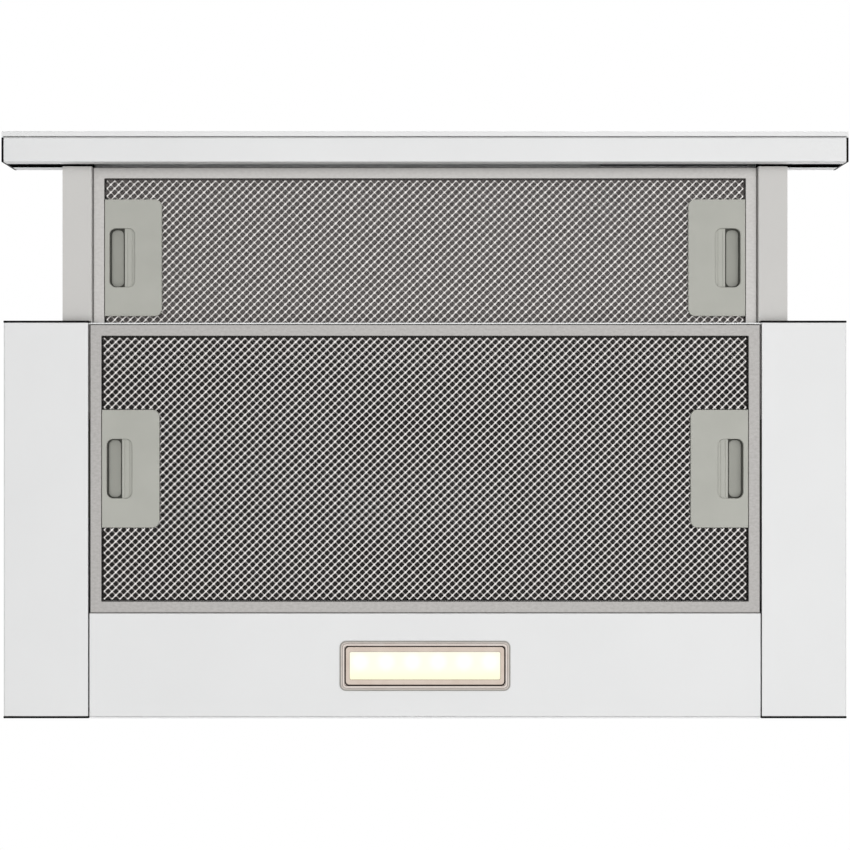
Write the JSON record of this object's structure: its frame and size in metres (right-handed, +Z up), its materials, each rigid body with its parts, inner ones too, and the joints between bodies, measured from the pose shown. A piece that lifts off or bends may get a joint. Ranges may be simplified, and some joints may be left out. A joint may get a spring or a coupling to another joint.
{
  "type": "range hood",
  "caption": "Built-in telescopic range hood: a white pull-out drawer with push buttons, two latched metal filters, a lamp, and a housing with a blower and duct spigot.",
  "frame": {"origin": "centre of the four cabinet screw holes, on the top faces of the side wings, which meet the underside of the cabinet", "axes": "+X across the hood to the right, seen from the front; -Y to the front, where the drawer comes out; +Z up, along the duct"},
  "size_m": [0.6, 0.4185, 0.218],
  "materials": {
    "white_powder_coat": "smooth satin powder coat",
    "fascia_white": "moulded, satin",
    "galvanised_steel": "zinc coated sheet, faint spangle",
    "rail_paint": "smooth pale grey paint",
    "black_plastic": "fine moulded grain",
    "button_plastic": "polished moulding",
    "latch_plastic": "fine moulded grain",
    "filter_aluminium": "satin anodised",
    "net_aluminium": "bright expanded mesh in layers",
    "bright_steel": "bright zinc plate",
    "lamp_bezel_metal": "satin",
    "frosted_lens": "frosted, lit from behind",
    "circuit_board": "white solder mask",
    "impeller_plastic": "moulded",
    "motor_paint": "grey enamel",
    "capacitor_can": "moulded",
    "grey_plastic": "fine moulded grain",
    "nylon": "natural nylon"
  },
  "bodies": {
    "hood_body": {"wing_cover_left": "white_powder_coat", "wing_cover_right": "white_powder_coat", "wing_end_caps": "black_plastic", "lamp_panel": "white_powder_coat", "front_sill": "white_powder_coat", "lamp_bezel": "lamp_bezel_metal", "lamp_lens": "frosted_lens", "led_board": "circuit_board", "housing_front_panel": "galvanised_steel", "housing_rear_panel": "galvanised_steel", "housing_side_left": "galvanised_steel", "housing_side_right": "galvanised_steel", "housing_lid": "galvanised_steel", "housing_screws": "bright_steel", "duct_spigot": "black_plastic", "blower_scroll": "galvanised_steel", "blower_side_left": "galvanised_steel", "blower_side_right": "galvanised_steel", "motor": "motor_paint", "motor_bracket": "galvanised_steel", "capacitor": "capacitor_can", "terminal_box": "grey_plastic", "cable_gland": "black_plastic", "drawer_switch": "black_plastic", "runner_left": "galvanised_steel", "runner_right": "galvanised_steel", "rail_glides": "nylon"},
    "drawer": {"drawer_rail_left": "rail_paint", "drawer_rail_right": "rail_paint", "drawer_glides": "nylon", "drawer_top_panel": "white_powder_coat", "drawer_crossbar": "white_powder_coat", "trim_channel": "white_powder_coat", "trim_cap_left": "black_plastic", "trim_cap_right": "black_plastic", "fascia": "fascia_white", "control_box": "grey_plastic", "drawer_filter_frame": "filter_aluminium", "drawer_filter_net": "net_aluminium", "drawer_latch_plate_left": "latch_plastic", "drawer_latch_plate_right": "latch_plastic", "drawer_latch_springs": "bright_steel"},
    "main_filter": {"main_filter_frame": "filter_aluminium", "main_filter_net": "net_aluminium", "main_latch_plate_left": "latch_plastic", "main_latch_plate_right": "latch_plastic", "main_latch_springs": "bright_steel"},
    "main_bolt_left": {"main_latch_bolt_left": "latch_plastic"},
    "main_bolt_right": {"main_latch_bolt_right": "latch_plastic"},
    "drawer_bolt_left": {"drawer_latch_bolt_left": "latch_plastic"},
    "drawer_bolt_right": {"drawer_latch_bolt_right": "latch_plastic"},
    "light_button": {"button_light": "button_plastic"},
    "off_button": {"button_off": "button_plastic"},
    "low_button": {"button_low": "button_plastic"},
    "medium_button": {"button_medium": "button_plastic"},
    "high_button": {"button_high": "button_plastic"},
    "front_flap": {"backdraft_flap_front": "black_plastic"},
    "rear_flap": {"backdraft_flap_rear": "black_plastic"},
    "impeller": {"impeller": "impeller_plastic", "motor_shaft": "bright_steel"}
  },
  "joints": [
    {"name": "drawer_slide", "type": "slide", "parent": "hood_body", "child": "drawer", "axis": [0, -1, 0], "range_m": [-0.11, 0]},
    {"name": "main_filter_drop", "type": "slide", "parent": "hood_body", "child": "main_filter", "axis": [0, 0, -1], "range_m": [0, 0.06]},
    {"name": "main_latch_left", "type": "slide", "parent": "main_filter", "child": "main_bolt_left", "axis": [1, 0, 0], "range_m": [0, 0.0055], "stiffness_N_per_m": 600, "deforming": ["main_latch_springs"]},
    {"name": "main_latch_right", "type": "slide", "parent": "main_filter", "child": "main_bolt_right", "axis": [-1, 0, 0], "range_m": [0, 0.0055], "stiffness_N_per_m": 600, "deforming": ["main_latch_springs"]},
    {"name": "drawer_latch_left", "type": "slide", "parent": "drawer", "child": "drawer_bolt_left", "axis": [1, 0, 0], "range_m": [0, 0.0055], "stiffness_N_per_m": 600, "deforming": ["drawer_latch_springs"]},
    {"name": "drawer_latch_right", "type": "slide", "parent": "drawer", "child": "drawer_bolt_right", "axis": [-1, 0, 0], "range_m": [0, 0.0055], "stiffness_N_per_m": 600, "deforming": ["drawer_latch_springs"]},
    {"name": "light_press", "type": "slide", "parent": "drawer", "child": "light_button", "axis": [0, 1, 0], "range_m": [0, 0.002], "stiffness_N_per_m": 800},
    {"name": "off_press", "type": "slide", "parent": "drawer", "child": "off_button", "axis": [0, 1, 0], "range_m": [0, 0.002], "stiffness_N_per_m": 800},
    {"name": "low_press", "type": "slide", "parent": "drawer", "child": "low_button", "axis": [0, 1, 0], "range_m": [0, 0.002], "stiffness_N_per_m": 800},
    {"name": "medium_press", "type": "slide", "parent": "drawer", "child": "medium_button", "axis": [0, 1, 0], "range_m": [0, 0.002], "stiffness_N_per_m": 800},
    {"name": "high_press", "type": "slide", "parent": "drawer", "child": "high_button", "axis": [0, 1, 0], "range_m": [0, 0.002], "stiffness_N_per_m": 800},
    {"name": "front_flap_hinge", "type": "hinge", "parent": "hood_body", "child": "front_flap", "pos_m": [0, 0.017, 0.147], "axis": [-1, 0, 0], "range_deg": [0, 78]},
    {"name": "rear_flap_hinge", "type": "hinge", "parent": "hood_body", "child": "rear_flap", "pos_m": [0, 0.023, 0.147], "axis": [1, 0, 0], "range_deg": [0, 78]},
    {"name": "impeller_spin", "type": "hinge", "parent": "hood_body", "child": "impeller", "pos_m": [0, -0.02, 0.06], "axis": [1, 0, 0], "continuous": true}
  ]
}
